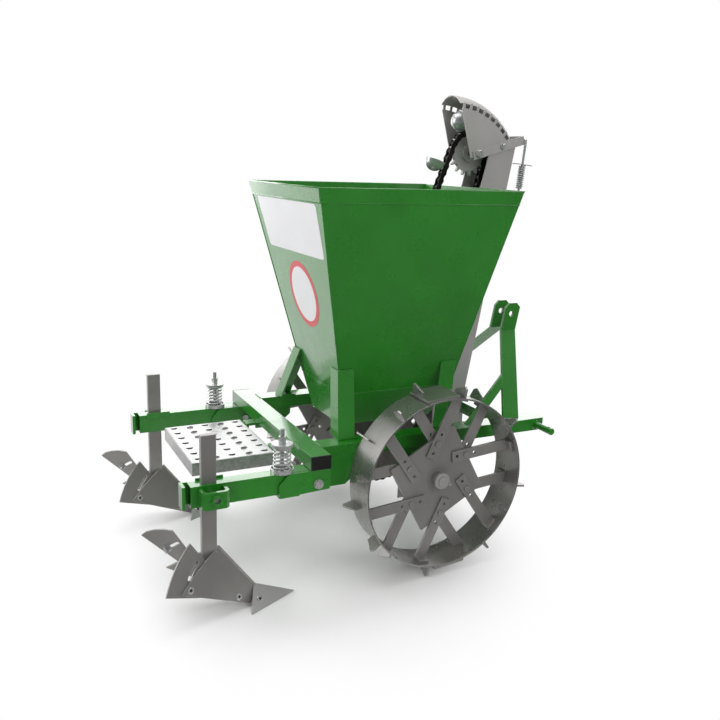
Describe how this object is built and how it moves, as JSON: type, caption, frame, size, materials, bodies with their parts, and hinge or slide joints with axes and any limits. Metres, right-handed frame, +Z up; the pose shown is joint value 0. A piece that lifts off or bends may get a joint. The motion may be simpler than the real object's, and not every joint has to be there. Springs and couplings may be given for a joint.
{
  "type": "potato planter",
  "caption": "Tractor-mounted single-row potato planter with a tapered hopper, a cup-chain elevator, lugged steel wheels and sprung ridging bodies on trailing arms.",
  "frame": {"origin": "bottom centre of the machine's bounding box, on the ground", "axes": "+X forward to the tractor, +Y left, +Z up"},
  "size_m": [1.3962, 0.86, 1.4217],
  "materials": {
    "green_paint": "gloss",
    "grey_steel": "satin",
    "grey_paint": "satin",
    "dark_steel": "satin",
    "zinc": "bright",
    "galvanised": "satin",
    "black_plastic": "matte"
  },
  "bodies": {
    "frame": {"arm_bracket_left": "green_paint", "arm_bracket_right": "green_paint", "axle_bearings": "green_paint", "chute": "grey_paint", "clamp_screws": "zinc", "cross_beam_caps": "black_plastic", "elevator_chain": "dark_steel", "foot_plate": "galvanised", "foot_sprocket": "dark_steel", "front_cross_beam": "green_paint", "furrow_opener": "grey_paint", "head_plate_left": "grey_paint", "head_plate_right": "grey_paint", "head_shaft": "dark_steel", "head_sprocket": "dark_steel", "head_strap": "grey_paint", "hood": "grey_paint", "hopper_front": "green_paint", "hopper_legs": "green_paint", "hopper_rear": "green_paint", "hopper_side_left": "green_paint", "hopper_side_right": "green_paint", "hopper_throat": "green_paint", "link_pins": "green_paint", "mast_left": "green_paint", "mast_right": "green_paint", "pivot_bolts": "zinc", "rear_cross_beam": "green_paint", "ridger_arm_left": "green_paint", "ridger_arm_right": "green_paint", "seed_cups": "zinc", "shank_clamp_left": "green_paint", "shank_clamp_right": "green_paint", "side_beam_left": "green_paint", "side_beam_right": "green_paint", "spring_rods": "zinc", "spring_seats": "zinc", "springs": "zinc", "step_brackets": "green_paint", "tension_rod": "zinc"},
    "wheels": {"axle": "dark_steel", "wheel_hub_left": "grey_steel", "wheel_hub_right": "grey_steel", "wheel_rim_left": "grey_steel", "wheel_rim_right": "grey_steel", "wheel_spokes_left": "grey_steel", "wheel_spokes_right": "grey_steel"},
    "ridger_left": {"ridger_body_left": "grey_steel", "ridger_point_left": "grey_steel", "ridger_shank_left": "grey_steel", "ridger_wings_left": "grey_steel"},
    "ridger_right": {"ridger_body_right": "grey_steel", "ridger_point_right": "grey_steel", "ridger_shank_right": "grey_steel", "ridger_wings_right": "grey_steel"}
  },
  "joints": [
    {"name": "wheels_turn", "type": "hinge", "parent": "frame", "child": "wheels", "pos_m": [0.16349, 0, 0.29276], "axis": [0, 1, 0], "continuous": true},
    {"name": "ridger_left_height", "type": "slide", "parent": "frame", "child": "ridger_left", "axis": [0.0272, 0, 0.9996], "range_m": [0, 0.1]},
    {"name": "ridger_right_height", "type": "slide", "parent": "frame", "child": "ridger_right", "axis": [0.0272, 0, 0.9996], "range_m": [0, 0.1]}
  ]
}
